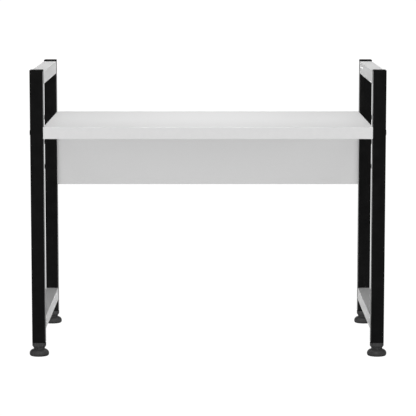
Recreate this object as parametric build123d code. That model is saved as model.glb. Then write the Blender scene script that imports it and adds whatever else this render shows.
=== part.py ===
from build123d import *
import os

# Office desk frame with raised side frames, a desktop, a modesty panel and levelling feet.
# Millimetres. +X is to the right, +Y to the back, +Z up. The origin is on the floor, under the middle.

# ---- Driving dimensions ----
overall_width = 1080.0          # over the outer faces of the posts
overall_depth = 600.0           # over the front and back faces of the posts
overall_height = 880.0          # floor to the top of the post caps
tube_size = 40.0                # square steel tube of the posts
tube_wall = 1.5
tube_corner = 2.0               # outer radius of the tube's corners
desktop_top = 707.0             # height of the working surface
desktop_thickness = 36.0
panel_height = 200.0
panel_thickness = 18.0
panel_drop = 4.0                # gap between the desktop and the modesty panel
rail_size = 40.0                # square section of the four white rails
rail_edge_radius = 1.0
top_rail_drop = 5.0             # the top rails end this far below the post caps' tops
bottom_rail_low = 80.0          # underside of the bottom rails
foot_height = 42.0              # floor to the underside of the post

# ---- Boards ----
desktop_band = 2.0              # thickness of the desktop's edge bands
panel_band = 1.0
band_radius = 1.2               # rounding on the desktop bands' outer edges

# ---- Post caps and foot inserts ----
cap_thickness = 5.0
cap_edge_radius = 2.5
cap_spigot = 10.0               # how far the cap reaches into the tube
insert_flange = 3.0
insert_depth = 30.0
insert_boss = 18.0              # diameter of the threaded boss
plug_wall = 2.0
fit_gap = 0.05                  # gap on each side of a piece that sits in a hole

# ---- Levelling feet ----
stud_diameter = 10.0            # M10, screwed into the insert
stud_reach = 35.0               # how far the stud goes into the post when the foot is screwed in
stud_seat = 8.0                 # height of the stud's end inside the foot
foot_stop_gap = 0.3             # between the foot's grip and the insert
sole_radius = 26.0
base_radius = 30.0
base_widest = 7.5               # height at which the base is widest
neck_radius = 16.7
neck_low = 20.5
neck_high = 24.0
grip_radius = 21.3
grip_low = 31.0
rib_count = 12
rib_width = 4.6
rib_height = 1.7                # how far the ribs stand out of the neck and grip
rib_foot = 17.0                 # the ribs start at this height, inside the base's shoulder
sole_ring = 5.0                 # width of the ring that stands on the floor
sole_boss = 9.0
sole_recess = 5.0
sole_web = 2.0
sole_web_count = 6

# ---- Furniture bolts, through a post and into a barrel nut in a board ----
bolt_diameter = 6.0
bolt_length = 75.0
bolt_head_diameter = 17.0
bolt_head_height = 2.1
bolt_head_chamfer = 0.6
bolt_socket = 4.0               # across the flats of the hexagon socket
bolt_socket_depth = 3.0
bolt_hole = 7.0                 # clearance hole in the posts and boards
nut_diameter = 10.0
nut_inset = 30.0                # from the board's end to the barrel nut
desktop_nut_length = 16.0
panel_nut_length = 12.0
nut_slot_width = 1.4
nut_slot_depth = 1.2
panel_bolt_spacing = 82.0

# ---- Rail joints: a cam bolt in a rivet nut, a cam lock in the rail, and a dowel ----
cam_bolt_height = 10.0          # above the rail's underside
dowel_height = 23.0
rivet_body = 9.0
rivet_length = 14.0
rivet_flange = 12.0
rivet_flange_thickness = 1.0
rivet_recess = 12.6             # counterbore for the flange in the rail's end
rivet_recess_depth = 1.2
cam_diameter = 15.0
cam_depth = 15.0
cam_inset = 24.0                # from the rail's end to the cam's axis
cam_bolt_hole = 8.0
cam_bolt_shank = 5.0
cam_bolt_head = 7.0
cam_bolt_head_length = 3.0
cam_bolt_thread_length = 11.0
cam_slot_width = 1.6
cam_slot_depth = 2.0
dowel_diameter = 8.0
dowel_length = 30.0
dowel_in_post = 10.0
dowel_chamfer = 1.0

# ---- Places worked out from the dimensions ----
post_x = (overall_width - tube_size) / 2
post_y = (overall_depth - tube_size) / 2
inner_x = overall_width / 2 - tube_size          # inner faces of the posts
inner_y = overall_depth / 2 - tube_size
post_low = foot_height + insert_flange
post_high = overall_height - cap_thickness
tube_bore = tube_size - 2 * tube_wall
tube_bore_corner = tube_corner - tube_wall
plug_size = tube_bore - 2 * fit_gap
desktop_low = desktop_top - desktop_thickness
desktop_middle = desktop_top - desktop_thickness / 2
panel_high = desktop_low - panel_drop
panel_low = panel_high - panel_height
panel_middle = (panel_low + panel_high) / 2
panel_bolt_heights = [panel_middle - panel_bolt_spacing / 2, panel_middle + panel_bolt_spacing / 2]
top_rail_low = overall_height - top_rail_drop - rail_size
rail_lows = {"top": top_rail_low, "bottom": bottom_rail_low}
grip_top = foot_height - foot_stop_gap
nut_x = inner_x - nut_inset

corners = {
    "front_left": (-1, -1),
    "front_right": (1, -1),
    "back_left": (-1, 1),
    "back_right": (1, 1),
}
sides = {"left": -1, "right": 1}
ends = (-1, 1)


# ---- Simple shapes ----
def rod(start, direction, diameter, length):
    """A round bar from the point start, along direction."""
    return extrude(Plane(origin=start, z_dir=direction) * Circle(diameter / 2), amount=length)


def block(low, high):
    """A box between two opposite corners."""
    size = [b - a for a, b in zip(low, high)]
    middle = [(a + b) / 2 for a, b in zip(low, high)]
    return Pos(*middle) * Box(*size)


def square_bar(x, y, size, corner, low, high):
    """An upright square bar with rounded corners, centred on x and y."""
    outline = Pos(x, y, low) * RectangleRounded(size, size, corner)
    return extrude(outline, amount=high - low)


def hexagon_cut(start, direction, flats, depth):
    outline = RegularPolygon(flats / 2, 6, major_radius=False)
    return extrude(Plane(origin=start, z_dir=direction) * outline, amount=depth)


def group(solids):
    """Identical pieces that share one node, as separate solids."""
    return Compound(children=list(solids))


# ---- Posts, their caps and the inserts for the feet ----
def post(side, end):
    x = side * post_x
    y = end * post_y
    tube = square_bar(x, y, tube_size, tube_corner, post_low, post_high)
    tube -= square_bar(x, y, tube_bore, tube_bore_corner, post_low, post_high)
    bolt_heights = [desktop_middle]
    if end > 0:
        bolt_heights += panel_bolt_heights
    for height in bolt_heights:
        tube -= rod((x - tube_size / 2, y, height), (1, 0, 0), bolt_hole, tube_size)
    for low in rail_lows.values():
        face = (x, end * inner_y, low)
        for diameter, height in ((rivet_body, cam_bolt_height), (dowel_diameter, dowel_height)):
            start = (face[0], face[1], face[2] + height)
            tube -= rod(start, (0, end, 0), diameter, 2 * tube_wall)
    return tube


def square_sleeve(x, y, low, high):
    """The hollow square plug that grips the inside of the tube."""
    sleeve = square_bar(x, y, plug_size, tube_bore_corner, low, high)
    bore = plug_size - 2 * plug_wall
    return sleeve - square_bar(x, y, bore, tube_bore_corner, low, high)


def post_cap(side, end):
    x = side * post_x
    y = end * post_y
    lid = square_bar(x, y, tube_size, tube_corner, post_high, overall_height)
    rim = lid.faces().sort_by(Axis.Z)[-1].edges()
    lid = fillet(rim, radius=cap_edge_radius - fit_gap)
    return lid + square_sleeve(x, y, post_high - cap_spigot, post_high)


def foot_insert(side, end):
    x = side * post_x
    y = end * post_y
    top = post_low + insert_depth
    insert = square_bar(x, y, tube_size, tube_corner, foot_height, post_low)
    insert += square_sleeve(x, y, post_low, top)
    insert += rod((x, y, post_low), (0, 0, 1), insert_boss, insert_depth)
    half_web = plug_wall / 2
    reach = plug_size / 2 - plug_wall / 2
    insert += block((x - reach, y - half_web, post_low), (x + reach, y + half_web, top))
    insert += block((x - half_web, y - reach, post_low), (x + half_web, y + reach, top))
    return insert - rod((x, y, foot_height), (0, 0, 1), stud_diameter, top - foot_height)


# ---- Levelling feet ----
def foot_outline(inset):
    """Half section of the foot, with the neck and grip set in by inset."""
    neck = neck_radius - inset
    grip = grip_radius - inset
    lower_curve = EllipticalCenterArc(
        (sole_radius, base_widest), base_radius - sole_radius, base_widest, start_angle=270, arc_size=90,
    )
    shoulder = EllipticalCenterArc(
        (neck, base_widest), base_radius - neck, neck_low - base_widest, start_angle=0, arc_size=90,
    )
    upper = Polyline(
        (neck, neck_low), (neck, neck_high), (grip, grip_low), (grip, grip_top), (0, grip_top), (0, 0),
        (sole_radius, 0),
    )
    return Plane.XZ * make_face([lower_curve, shoulder, upper])


def foot_ribs():
    """Upright ribs round the neck and grip, which fingers turn the foot by."""
    root = neck_radius - 2 * rib_height
    outline = Polyline(
        (root, rib_foot),
        (neck_radius, rib_foot),
        (neck_radius, neck_high),
        (grip_radius, grip_low),
        (grip_radius, grip_top),
        (root, grip_top),
        close=True,
    )
    rib = extrude(Plane.XZ * make_face(outline), amount=rib_width / 2, both=True)
    upright = rib.edges().filter_by(Axis.Z).sort_by(Axis.X)[-2:]
    rib = fillet(upright, radius=rib_width * 0.3)
    return [Rot(0, 0, 360 * turn / rib_count) * rib for turn in range(rib_count)]


def sole_pockets():
    """The hollow under the base, with webs from the boss to the ring."""
    pocket = Cylinder(sole_radius - sole_ring, sole_recess) - Cylinder(sole_boss, sole_recess)
    for turn in range(sole_web_count):
        web = Pos(base_radius / 2, 0, 0) * Box(base_radius, sole_web, sole_recess)
        pocket -= Rot(0, 0, 360 * turn / sole_web_count) * web
    return Pos(0, 0, sole_recess / 2) * pocket


def foot_base_shape():
    base = revolve(foot_outline(rib_height), Axis.Z)
    for rib in foot_ribs():
        base += rib
    base -= sole_pockets()
    return base - rod((0, 0, stud_seat), (0, 0, 1), stud_diameter, foot_height)


def foot_stud(side, end):
    low = stud_seat + foot_stop_gap
    length = foot_height + stud_reach - low
    stud = rod((side * post_x, end * post_y, low), (0, 0, 1), stud_diameter - 2 * fit_gap, length)
    return chamfer(stud.edges().sort_by(Axis.Z)[-1], length=1.0)


# ---- Rails between the front and back posts ----
def rail(side, low):
    x = side * post_x
    half = rail_size / 2
    bar = block((x - half, -inner_y, low), (x + half, inner_y, low + rail_size))
    bar = fillet(bar.edges().filter_by(Axis.Y), radius=rail_edge_radius)
    for end in ends:
        inward = (0, -end, 0)
        face = end * inner_y
        cam_y = end * (inner_y - cam_inset)
        bolt_line = (x, face, low + cam_bolt_height)
        bar -= rod(bolt_line, inward, rivet_recess, rivet_recess_depth)
        bar -= rod(bolt_line, inward, cam_bolt_hole, cam_inset)
        bar -= rod((x, cam_y, low), (0, 0, 1), cam_diameter, cam_depth)
        bar -= rod((x, face, low + dowel_height), inward, dowel_diameter, dowel_length - dowel_in_post)
    return bar


def rivet_nut(x, end, low):
    inward = (0, -end, 0)
    outward = (0, end, 0)
    start = (x, end * inner_y, low + cam_bolt_height)
    nut = rod(start, outward, rivet_body - 2 * fit_gap, rivet_length)
    nut += rod(start, inward, rivet_flange, rivet_flange_thickness)
    bore_start = (x, end * (inner_y - rivet_flange_thickness), low + cam_bolt_height)
    return nut - rod(bore_start, outward, bolt_diameter, rivet_length + rivet_flange_thickness)


def cam_bolt(x, end, low):
    inward = (0, -end, 0)
    start = (x, end * (inner_y + cam_bolt_thread_length), low + cam_bolt_height)
    bolt = rod(start, inward, bolt_diameter - 2 * fit_gap, cam_bolt_thread_length)
    bolt += rod(start, inward, cam_bolt_shank, cam_bolt_thread_length + cam_inset)
    head_start = (x, end * (inner_y - cam_inset + cam_bolt_head_length), low + cam_bolt_height)
    return bolt + rod(head_start, inward, cam_bolt_head, cam_bolt_head_length)


def cam_lock(x, end, low):
    """A round zinc cam with a hollow for the bolt's head and a cross slot underneath."""
    y = end * (inner_y - cam_inset)
    lock = rod((x, y, low), (0, 0, 1), cam_diameter - 2 * fit_gap, cam_depth)
    mouth = (x, y + end * cam_diameter, low + cam_bolt_height)
    lock -= rod(mouth, (0, -end, 0), cam_bolt_hole, cam_diameter + cam_bolt_head_length)
    half_width = cam_slot_width / 2
    slot = block((-cam_bolt_shank, -half_width, 0), (cam_bolt_shank, half_width, cam_slot_depth))
    for turn in (0, 90):
        lock -= Pos(x, y, low) * Rot(0, 0, turn) * slot
    return lock


def dowel(x, end, low):
    start = (x, end * (inner_y + dowel_in_post), low + dowel_height)
    pin = rod(start, (0, -end, 0), dowel_diameter - 2 * fit_gap, dowel_length - fit_gap)
    return chamfer(pin.edges().filter_by(GeomType.CIRCLE), length=dowel_chamfer)


def at_rail_ends(piece):
    """One copy of a rail fitting at both ends of all four rails."""
    return group(
        piece(side * post_x, end, low)
        for low in rail_lows.values() for side in sides.values() for end in ends
    )


# ---- Boards ----
def bolt_bores(height, y):
    """Bores for the furniture bolts in both ends of a board."""
    reach = nut_inset + nut_diameter
    return [rod((side * inner_x, y, height), (-side, 0, 0), bolt_hole, reach) for side in sides.values()]


def desktop_board():
    half_x = inner_x - desktop_band
    half_y = overall_depth / 2 - desktop_band
    board = block((-half_x, -half_y, desktop_low), (half_x, half_y, desktop_top))
    nut_depth = desktop_thickness / 2 + desktop_nut_length / 2
    for end in ends:
        for bore in bolt_bores(desktop_middle, end * post_y):
            board -= bore
        for side in sides.values():
            board -= rod((side * nut_x, end * post_y, desktop_low), (0, 0, 1), nut_diameter, nut_depth)
    return board


def desktop_long_band(end):
    inner = end * (overall_depth / 2 - desktop_band)
    outer = end * overall_depth / 2
    band = block(
        (-inner_x, min(inner, outer), desktop_low),
        (inner_x, max(inner, outer), desktop_top),
    )
    outer_edges = band.edges().filter_by(Axis.X).sort_by(Axis.Y)
    outer_edges = outer_edges[:2] if end < 0 else outer_edges[-2:]
    return fillet(outer_edges, radius=band_radius)


def desktop_side_band(side):
    half_y = overall_depth / 2 - desktop_band
    inner = side * (inner_x - desktop_band)
    outer = side * inner_x
    band = block(
        (min(inner, outer), -half_y, desktop_low),
        (max(inner, outer), half_y, desktop_top),
    )
    outer_edges = band.edges().filter_by(Axis.Y).sort_by(Axis.X)
    outer_edges = outer_edges[:2] if side < 0 else outer_edges[-2:]
    band = fillet(outer_edges, radius=band_radius)
    for end in ends:
        for bore in bolt_bores(desktop_middle, end * post_y):
            band -= bore
    return band


def panel_block(low, high):
    half = panel_thickness / 2
    return block((-inner_x, post_y - half, low), (inner_x, post_y + half, high))


def modesty_panel():
    panel = panel_block(panel_low + panel_band, panel_high - panel_band)
    nut_depth = panel_thickness / 2 + panel_nut_length / 2
    back_face = post_y + panel_thickness / 2
    for height in panel_bolt_heights:
        for bore in bolt_bores(height, post_y):
            panel -= bore
        for side in sides.values():
            panel -= rod((side * nut_x, back_face, height), (0, -1, 0), nut_diameter, nut_depth)
    return panel


# ---- Furniture bolts and barrel nuts ----
def furniture_bolt(side, y, height):
    face = side * overall_width / 2
    inward = (-side, 0, 0)
    crown = (face + side * bolt_head_height, y, height)
    head = rod(crown, inward, bolt_head_diameter, bolt_head_height)
    outer_rim = head.edges().sort_by(Axis.X)[0 if side < 0 else -1]
    head = chamfer(outer_rim, length=bolt_head_chamfer)
    bolt = head + rod((face, y, height), inward, bolt_diameter - 2 * fit_gap, bolt_length)
    return bolt - hexagon_cut(crown, inward, bolt_socket, bolt_socket_depth)


def barrel_nut(side, start, direction, length, bolt_point):
    """A cross nut with a slot in the end that shows, and a hole for the bolt."""
    nut = rod(start, direction, nut_diameter - 2 * fit_gap, length)
    hole_start = (bolt_point[0] + side * nut_diameter, bolt_point[1], bolt_point[2])
    nut -= rod(hole_start, (-side, 0, 0), bolt_diameter, 2 * nut_diameter)
    slot = Box(nut_diameter, nut_slot_width, 2 * nut_slot_depth)
    return nut - Plane(origin=start, x_dir=(1, 0, 0), z_dir=direction) * slot


def desktop_bolts():
    return group(furniture_bolt(side, end * post_y, desktop_middle) for side, end in corners.values())


def panel_bolts():
    return group(
        furniture_bolt(side, post_y, height) for side in sides.values() for height in panel_bolt_heights
    )


def desktop_barrel_nuts():
    low = desktop_middle - desktop_nut_length / 2
    return group(
        barrel_nut(
            side, (side * nut_x, end * post_y, low), (0, 0, 1), desktop_nut_length - fit_gap,
            (side * nut_x, end * post_y, desktop_middle),
        )
        for side, end in corners.values()
    )


def panel_barrel_nuts():
    start_y = post_y + panel_nut_length / 2
    return group(
        barrel_nut(
            side, (side * nut_x, start_y, height), (0, -1, 0), panel_nut_length - fit_gap,
            (side * nut_x, post_y, height),
        )
        for side in sides.values() for height in panel_bolt_heights
    )


# ---- The whole desk ----
def all_nodes():
    nodes = {}
    foot_base = foot_base_shape()
    for name, (side, end) in corners.items():
        nodes["post_" + name] = post(side, end)
        nodes["post_cap_" + name] = post_cap(side, end)
        nodes["foot_insert_" + name] = foot_insert(side, end)
        nodes["foot_stud_" + name] = foot_stud(side, end)
        nodes["foot_base_" + name] = Pos(side * post_x, end * post_y, 0) * foot_base
    for name, side in sides.items():
        for level, low in rail_lows.items():
            nodes[level + "_rail_" + name] = rail(side, low)
        nodes["desktop_band_" + name] = desktop_side_band(side)
    nodes["desktop_board"] = desktop_board()
    nodes["desktop_band_front"] = desktop_long_band(-1)
    nodes["desktop_band_back"] = desktop_long_band(1)
    nodes["modesty_panel"] = modesty_panel()
    nodes["modesty_band_top"] = panel_block(panel_high - panel_band, panel_high)
    nodes["modesty_band_bottom"] = panel_block(panel_low, panel_low + panel_band)
    nodes["desktop_bolts"] = desktop_bolts()
    nodes["desktop_barrel_nuts"] = desktop_barrel_nuts()
    nodes["panel_bolts"] = panel_bolts()
    nodes["panel_barrel_nuts"] = panel_barrel_nuts()
    nodes["rail_rivet_nuts"] = at_rail_ends(rivet_nut)
    nodes["rail_cam_bolts"] = at_rail_ends(cam_bolt)
    nodes["rail_cam_locks"] = at_rail_ends(cam_lock)
    nodes["rail_dowels"] = at_rail_ends(dowel)
    return nodes


os.makedirs("parts", exist_ok=True)
for node_name, shape in all_nodes().items():
    export_step(shape, os.path.join("parts", node_name + ".step"))
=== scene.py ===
import math

import bmesh
import bpy
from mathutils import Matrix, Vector


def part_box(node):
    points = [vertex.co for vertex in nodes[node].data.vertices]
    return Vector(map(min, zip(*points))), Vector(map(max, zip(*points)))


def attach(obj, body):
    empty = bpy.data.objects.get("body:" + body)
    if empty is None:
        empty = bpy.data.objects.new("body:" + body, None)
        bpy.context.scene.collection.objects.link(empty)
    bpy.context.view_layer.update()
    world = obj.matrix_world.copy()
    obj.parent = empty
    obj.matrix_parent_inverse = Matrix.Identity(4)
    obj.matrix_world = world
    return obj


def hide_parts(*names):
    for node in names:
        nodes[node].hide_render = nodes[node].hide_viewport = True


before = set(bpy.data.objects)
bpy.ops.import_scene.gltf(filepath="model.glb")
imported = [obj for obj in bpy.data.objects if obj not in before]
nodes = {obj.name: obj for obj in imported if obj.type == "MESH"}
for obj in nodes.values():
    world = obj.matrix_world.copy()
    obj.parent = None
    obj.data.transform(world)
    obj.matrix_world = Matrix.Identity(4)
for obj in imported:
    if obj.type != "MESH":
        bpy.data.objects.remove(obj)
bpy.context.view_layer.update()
corner_names = ("front_left", "front_right", "back_left", "back_right")
side_names = ("left", "right")
mm = 0.001
white = (1.0, 1.0, 1.0, 1.0)

bpy.context.scene.view_settings.view_transform = "Standard"


# ---- Driving values, in metres, radians and watts where nothing else is said ----
camera_distance = 6.233         # before the front posts
camera_height = 1.256
camera_tilt = math.radians(7.277)
camera_lens = 178.5             # millimetres
sensor_width = 36.0             # millimetres

# Each of these four tables has pairs: a place, from 0 in front of the desk to 1 behind it, and the strength
# of the light there. The floor and the world light the desk by one table and show in its gloss by the other.
floor_light = ((0.3, 0.93), (0.45, 0.80), (0.6, 0.92), (0.75, 0.9))
floor_gloss = ((0.4, 0.12), (0.6, 0.95), (1.0, 0.75))
world_light = ((0.0, 1.39), (0.15, 1.36), (0.38, 0.12), (0.8, 0.0), (1.0, 0.2))
world_gloss = ((0.0, 0.05), (0.3, 0.28), (0.6, 0.28), (0.9, 0.2), (0.98, 1.2))
floor_reach = 3.0               # before and behind the desk, where the floor's places 0 and 1 are
floor_half = 30.0               # from the floor's middle to its edges
foot_shade_reach = (0.02, 0.11)     # distances from a foot's axis
foot_shade_light = (0.1, 1.0)       # the share of the floor's light at those distances
horizon_heights = (0.15, 0.55)      # heights in the sky, from 0 at the horizon to 1 overhead
horizon_light = (1.0, 0.1)          # the share of the world's light at those heights
background_strength = 1.05      # plain white to the camera
overhead_power = 7.1
overhead_spread = math.radians(72)
front_power = 45.0
back_power = 28.0

noise_span = (0.3, 0.7)         # the part of a noise's range that holds most of its values
coated_edge = 0.15 * mm         # widths of the softly broken edges
insert_edge = 0.3 * mm
foot_edge = 0.25 * mm
hardware_edge = 0.12 * mm
sharp_angle = math.radians(50)  # edges that turn by more than this are broken

thread_pitch = 1.5 * mm
thread_depth = 0.92 * mm
root_flat = 1 / 6               # share of the pitch
crest_flat = 1 / 8              # share of the pitch
thread_steps = 32               # round one turn
thread_edge_angle = math.radians(40)


# ---- Objects and nodes ----
def add_object(name, data):
    obj = bpy.data.objects.new(name, data)
    bpy.context.scene.collection.objects.link(obj)
    return obj


def aim(obj, direction):
    obj.rotation_mode = "QUATERNION"
    obj.rotation_quaternion = Vector(direction).to_track_quat("-Z", "Y")


def map_range(tree, value, source, target):
    node = tree.nodes.new("ShaderNodeMapRange")
    node.inputs["From Min"].default_value, node.inputs["From Max"].default_value = source
    node.inputs["To Min"].default_value, node.inputs["To Max"].default_value = target
    tree.links.new(value, node.inputs["Value"])
    return node.outputs["Result"]


def multiply(tree, first, second):
    node = tree.nodes.new("ShaderNodeMath")
    node.operation = "MULTIPLY"
    tree.links.new(first, node.inputs[0])
    tree.links.new(second, node.inputs[1])
    return node.outputs["Value"]


def vector_math(tree, operation, vector):
    node = tree.nodes.new("ShaderNodeVectorMath")
    node.operation = operation
    tree.links.new(vector, node.inputs[0])
    return node.outputs["Value" if operation == "LENGTH" else "Vector"]


def split_vector(tree, vector):
    node = tree.nodes.new("ShaderNodeSeparateXYZ")
    tree.links.new(vector, node.inputs["Vector"])
    return node.outputs


def levels(tree, value, steps):
    """A strength that follows value smoothly through steps, which are pairs of value and strength."""
    node = tree.nodes.new("ShaderNodeValToRGB")
    ramp = node.color_ramp
    while len(ramp.elements) < len(steps):
        ramp.elements.new(1.0)
    for element, (position, strength) in zip(ramp.elements, steps):
        element.position = position
        element.color = (strength, strength, strength, 1.0)
    tree.links.new(value, node.inputs["Fac"])
    return node.outputs["Color"]


def glow(tree, kind, strength):
    """White light, from a node of the kind Emission or Background."""
    node = tree.nodes.new("ShaderNode" + kind)
    node.inputs["Color"].default_value = white
    tree.links.new(strength, node.inputs["Strength"])
    return node.outputs[0]


def mix_shaders(tree, share, first, second):
    mix = tree.nodes.new("ShaderNodeMixShader")
    tree.links.new(share, mix.inputs[0])
    tree.links.new(first, mix.inputs[1])
    tree.links.new(second, mix.inputs[2])
    return mix.outputs["Shader"]


# ---- Camera, floor and light ----
def make_camera():
    """A long lens in front of the desk and a little above it, tilted slightly down."""
    data = bpy.data.cameras.new("camera")
    data.sensor_width = sensor_width
    data.lens = camera_lens
    data.clip_end = 100.0
    camera = add_object("camera", data)
    post_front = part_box("post_front_left")[0].y
    camera.location = (0.0, post_front - camera_distance, camera_height)
    aim(camera, (0.0, math.cos(camera_tilt), -math.sin(camera_tilt)))
    bpy.context.scene.camera = camera


def foot_shade(tree, position):
    """The share of the floor's light that is left round each foot. The feet mirror each other."""
    low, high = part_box("foot_base_back_right")
    folded = vector_math(tree, "ABSOLUTE", position)
    offset = vector_math(tree, "SUBTRACT", folded)
    offset.node.inputs[1].default_value = ((low.x + high.x) / 2, (low.y + high.y) / 2, 0.0)
    distance = vector_math(tree, "LENGTH", offset)
    return map_range(tree, distance, foot_shade_reach, foot_shade_light)


def make_floor():
    """A pale floor that gives the desk light from below, with a soft shade round each foot.

    The camera sees straight through it to the pale background, so the two have no line between them.
    """
    mesh = bpy.data.meshes.new("floor")
    near, far = -floor_half, floor_half
    corners = [(near, near, 0), (far, near, 0), (far, far, 0), (near, far, 0)]
    mesh.from_pydata(corners, [], [(0, 1, 2, 3)])
    floor = add_object("floor", mesh)
    floor.visible_camera = False
    material = bpy.data.materials.new("floor")
    material.use_nodes = True
    tree = material.node_tree
    tree.nodes.clear()
    position = tree.nodes.new("ShaderNodeNewGeometry").outputs["Position"]
    place = map_range(tree, split_vector(tree, position)["Y"], (-floor_reach, floor_reach), (0.0, 1.0))
    shade = foot_shade(tree, position)
    lit = glow(tree, "Emission", multiply(tree, levels(tree, place, floor_light), shade))
    mirrored = glow(tree, "Emission", multiply(tree, levels(tree, place, floor_gloss), shade))
    path = tree.nodes.new("ShaderNodeLightPath")
    shown = mix_shaders(tree, path.outputs["Is Glossy Ray"], lit, mirrored)
    output = tree.nodes.new("ShaderNodeOutputMaterial")
    tree.links.new(shown, output.inputs["Surface"])
    mesh.materials.append(material)


def make_world():
    """White to the camera. To the desk it is a bright band round the horizon, which fades overhead."""
    world = bpy.data.worlds.new("studio")
    bpy.context.scene.world = world
    world.use_nodes = True
    tree = world.node_tree
    tree.nodes.clear()
    direction = split_vector(tree, tree.nodes.new("ShaderNodeTexCoord").outputs["Generated"])
    place = map_range(tree, direction["Y"], (-1.0, 1.0), (0.0, 1.0))
    fade = map_range(tree, direction["Z"], horizon_heights, horizon_light)
    lit = glow(tree, "Background", multiply(tree, levels(tree, place, world_light), fade))
    mirrored = glow(tree, "Background", multiply(tree, levels(tree, place, world_gloss), fade))
    backdrop = tree.nodes.new("ShaderNodeBackground")
    backdrop.inputs["Color"].default_value = white
    backdrop.inputs["Strength"].default_value = background_strength
    path = tree.nodes.new("ShaderNodeLightPath")
    indirect = mix_shaders(tree, path.outputs["Is Glossy Ray"], lit, mirrored)
    shown = mix_shaders(tree, path.outputs["Is Camera Ray"], indirect, backdrop.outputs["Background"])
    output = tree.nodes.new("ShaderNodeOutputWorld")
    tree.links.new(shown, output.inputs["Surface"])


def softbox(name, place, target, size, power):
    """A rectangular lamp that the camera does not see. The size is its width and its depth."""
    data = bpy.data.lights.new(name, "AREA")
    data.shape = "RECTANGLE"
    data.size, data.size_y = size
    data.energy = power
    lamp = add_object(name, data)
    lamp.location = place
    aim(lamp, Vector(target) - Vector(place))
    lamp.visible_camera = False
    return lamp


def make_lights():
    overhead = softbox("overhead_light", (0.0, 0.12, 3.0), (0.0, 0.08, 0.7), (0.7, 0.6), overhead_power)
    overhead.data.spread = overhead_spread
    softbox("front_light", (0.0, -3.4, 3.2), (0.0, 0.0, 0.5), (3.2, 1.2), front_power)
    back = softbox("back_light", (0.0, 3.6, 0.35), (0.0, 0.0, 0.5), (1.2, 0.5), back_power)
    back.visible_glossy = False


# ---- Materials ----
def gray(level):
    return (level, level, level)


def new_material(name):
    material = bpy.data.materials.new(name)
    material.use_nodes = True
    tree = material.node_tree
    return material, tree, tree.nodes["Principled BSDF"]


def noise(tree, scale, detail=2.0, stretch=(1.0, 1.0, 1.0)):
    """Noise in object space, with scale in features per metre."""
    coordinates = tree.nodes.new("ShaderNodeTexCoord")
    mapping = tree.nodes.new("ShaderNodeMapping")
    mapping.inputs["Scale"].default_value = stretch
    texture = tree.nodes.new("ShaderNodeTexNoise")
    texture.inputs["Scale"].default_value = scale
    texture.inputs["Detail"].default_value = detail
    tree.links.new(coordinates.outputs["Object"], mapping.inputs["Vector"])
    tree.links.new(mapping.outputs["Vector"], texture.inputs["Vector"])
    return texture.outputs["Fac"]


def color_by(tree, shader, value, first, second):
    """Blends the color from first to second as the noise value rises."""
    ramp = tree.nodes.new("ShaderNodeValToRGB")
    for element, place, color in zip(ramp.color_ramp.elements, noise_span, (first, second)):
        element.position = place
        element.color = (*color, 1.0)
    tree.links.new(value, ramp.inputs["Fac"])
    tree.links.new(ramp.outputs["Color"], shader.inputs["Base Color"])


def roughness_by(tree, shader, value, limits):
    """Moves the roughness between its two limits with the noise value."""
    tree.links.new(map_range(tree, value, noise_span, limits), shader.inputs["Roughness"])


def bump(tree, shader, height, distance, below=None):
    """Raises the surface by up to distance, on top of the bumps below."""
    node = tree.nodes.new("ShaderNodeBump")
    node.inputs["Distance"].default_value = distance
    tree.links.new(height, node.inputs["Height"])
    if below is not None:
        tree.links.new(below, node.inputs["Normal"])
    tree.links.new(node.outputs["Normal"], shader.inputs["Normal"])
    return node.outputs["Normal"]


def powder_coat():
    """Satin black powder coat with the fine orange peel of sprayed and baked paint."""
    material, tree, shader = new_material("powder_coat")
    tone = noise(tree, 35.0, detail=3.0)
    color_by(tree, shader, tone, gray(0.0046), gray(0.0066))
    roughness_by(tree, shader, tone, (0.30, 0.38))
    shader.inputs["Specular IOR Level"].default_value = 0.2
    grain = bump(tree, shader, noise(tree, 2600.0, detail=1.0), 0.015 * mm)
    bump(tree, shader, noise(tree, 650.0, detail=3.0), 0.06 * mm, below=grain)
    return material


def melamine():
    """Matt white melamine with a fine pearl texture and a hardly visible print."""
    material, tree, shader = new_material("white_melamine")
    color_by(tree, shader, noise(tree, 300.0, detail=4.0), gray(0.758), gray(0.772))
    pearl = noise(tree, 1300.0)
    roughness_by(tree, shader, pearl, (0.50, 0.60))
    shader.inputs["Specular IOR Level"].default_value = 0.3
    bump(tree, shader, pearl, 0.03 * mm)
    return material


def edge_band(name, stretch):
    """White ABS edge band, with the faint drawn lines of its extrusion along its length."""
    material, tree, shader = new_material(name)
    color_by(tree, shader, noise(tree, 60.0), gray(0.745), gray(0.765))
    lines = noise(tree, 900.0, stretch=stretch)
    roughness_by(tree, shader, lines, (0.36, 0.46))
    bump(tree, shader, lines, 0.012 * mm)
    return material


def moulded_plastic(name, tones, roughness, specular, grain_size):
    """Moulded plastic with a spark-eroded grain."""
    material, tree, shader = new_material(name)
    dark, light = tones
    color_by(tree, shader, noise(tree, 90.0, detail=3.0), gray(dark), gray(light))
    grain = noise(tree, 1.0 / grain_size)
    roughness_by(tree, shader, grain, roughness)
    shader.inputs["Specular IOR Level"].default_value = specular
    bump(tree, shader, grain, 0.06 * mm)
    return material


def mottled_metal(name, dark, light, roughness):
    """Plated or cast metal, softly mottled and with a fine grain."""
    material, tree, shader = new_material(name)
    shader.inputs["Metallic"].default_value = 1.0
    mottle = noise(tree, 400.0, detail=4.0)
    color_by(tree, shader, mottle, dark, light)
    roughness_by(tree, shader, mottle, roughness)
    bump(tree, shader, noise(tree, 3000.0), 0.008 * mm)
    return material


def beech():
    """Turned beech, with its grain and short flecks along the dowel."""
    material, tree, shader = new_material("beech")
    grain = noise(tree, 500.0, detail=5.0, stretch=(1.0, 0.08, 1.0))
    color_by(tree, shader, grain, (0.42, 0.26, 0.14), (0.66, 0.47, 0.29))
    roughness_by(tree, shader, grain, (0.55, 0.7))
    bump(tree, shader, grain, 0.05 * mm)
    return material


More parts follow.
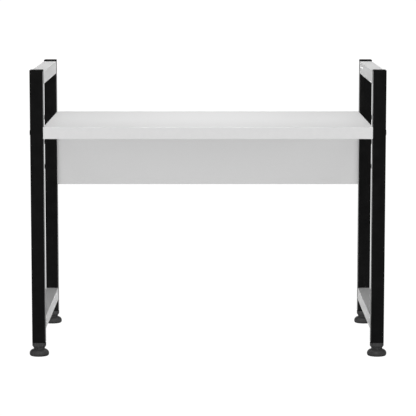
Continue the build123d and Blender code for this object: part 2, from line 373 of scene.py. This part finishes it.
# ---- Threads of the levelling feet ----
def thread_columns(bm, x, y, low, turns, major):
    """Upright rows of points on a right-hand helix, one row for each step round the rod."""
    minor = major - thread_depth
    flank = (1.0 - root_flat - crest_flat) / 2
    profile = (
        (0.0, minor),
        (root_flat, minor),
        (root_flat + flank, major),
        (root_flat + flank + crest_flat, major),
    )
    columns = []
    for step in range(thread_steps):
        share = step / thread_steps
        angle = 2 * math.pi * share
        column = []
        for turn in range(turns):
            for along, radius in profile:
                z = low + thread_pitch * (turn + share + along)
                column.append(bm.verts.new((x + radius * math.cos(angle), y + radius * math.sin(angle), z)))
        columns.append(column)
    return columns, len(profile)


def skin_thread(bm, columns, per_turn):
    """Joins each column to the next. The last meets the first a turn higher, because the thread climbs."""
    last = len(columns[0]) - 1
    for column, following in zip(columns, columns[1:]):
        for row in range(last):
            bm.faces.new((column[row], following[row], following[row + 1], column[row + 1]))
    seam, start = columns[-1], columns[0]
    for row in range(last - per_turn):
        above = row + per_turn
        bm.faces.new((seam[row], start[above], start[above + 1], seam[row + 1]))


def close_end(bm, rim, center):
    """Closes a round opening with a fan of faces, from its rim to a point on the axis."""
    tip = bm.verts.new(center)
    for first, second in zip(rim, rim[1:] + rim[:1]):
        bm.faces.new((first, second, tip))


def threaded_stud(node, body):
    """The stud of a levelling foot with its real thread, in place of the CAD's plain cylinder."""
    low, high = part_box(node)
    x = (low.x + high.x) / 2
    y = (low.y + high.y) / 2
    turns = int((high.z - low.z) / thread_pitch) - 1
    bm = bmesh.new()
    columns, per_turn = thread_columns(bm, x, y, low.z, turns, (high.x - low.x) / 2)
    skin_thread(bm, columns, per_turn)
    lower_rim = [column[0] for column in columns] + columns[0][per_turn:0:-1]
    upper_rim = [column[-1] for column in columns] + columns[-1][-2:-per_turn - 2:-1]
    close_end(bm, lower_rim, (x, y, low.z))
    close_end(bm, upper_rim, (x, y, high.z))
    bmesh.ops.recalc_face_normals(bm, faces=bm.faces)
    mesh = bpy.data.meshes.new(node + "_thread")
    bm.to_mesh(mesh)
    bm.free()
    for polygon in mesh.polygons:
        polygon.use_smooth = True
    mesh.set_sharp_from_angle(angle=thread_edge_angle)
    stud = add_object(node + "_thread", mesh)
    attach(stud, body)
    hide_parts(node)
    return stud


# ---- Finishes ----
def dress(names, material, bevel_width=None):
    """Gives CAD nodes their finish, and breaks their sharp edges by bevel_width."""
    for name in names:
        obj = nodes[name]
        for slot in obj.material_slots:
            slot.material = material
        if bevel_width is not None:
            modifier = obj.modifiers.new("broken_edges", "BEVEL")
            modifier.width = bevel_width
            modifier.segments = 2
            modifier.limit_method = "ANGLE"
            modifier.angle_limit = sharp_angle
            modifier.harden_normals = True


def for_corners(prefix):
    return [prefix + name for name in corner_names]


def dress_frame():
    plastic = moulded_plastic("black_plastic", (0.005, 0.008), (0.60, 0.70), 0.08, 0.5 * mm)
    nylon = moulded_plastic("grey_nylon", (0.062, 0.082), (0.42, 0.56), 0.4, 0.8 * mm)
    dress(for_corners("post_"), powder_coat(), coated_edge)
    dress(for_corners("post_cap_"), plastic)
    dress(for_corners("foot_insert_"), plastic, insert_edge)
    dress(for_corners("foot_base_"), nylon, foot_edge)


def dress_boards():
    rails = [level + "_rail_" + side for level in ("top", "bottom") for side in side_names]
    dress(rails + ["desktop_board", "modesty_panel"], melamine(), coated_edge)
    along_x = edge_band("edge_band_along_x", (0.03, 1.0, 1.0))
    along_y = edge_band("edge_band_along_y", (1.0, 0.03, 1.0))
    dress(["desktop_band_front", "desktop_band_back"], along_x, coated_edge)
    dress(["modesty_band_top", "modesty_band_bottom"], along_x, coated_edge)
    dress(["desktop_band_left", "desktop_band_right"], along_y, coated_edge)


def dress_hardware():
    black = mottled_metal("black_zinc", gray(0.016), gray(0.03), (0.28, 0.42))
    zinc = mottled_metal("bright_zinc", (0.52, 0.53, 0.55), (0.68, 0.69, 0.70), (0.22, 0.36))
    casting = mottled_metal("zinc_casting", (0.36, 0.36, 0.37), (0.50, 0.50, 0.51), (0.42, 0.60))
    dress(["desktop_bolts", "panel_bolts"], black, hardware_edge)
    dress(["desktop_barrel_nuts", "panel_barrel_nuts"], zinc, hardware_edge)
    dress(["rail_rivet_nuts", "rail_cam_bolts"], zinc)
    dress(["rail_cam_locks"], casting, hardware_edge)
    dress(["rail_dowels"], beech())
    for name in corner_names:
        stud = threaded_stud("foot_stud_" + name, name + "_stud")
        stud.data.materials.append(zinc)


make_camera()
make_floor()
make_world()
make_lights()
dress_frame()
dress_boards()
dress_hardware()
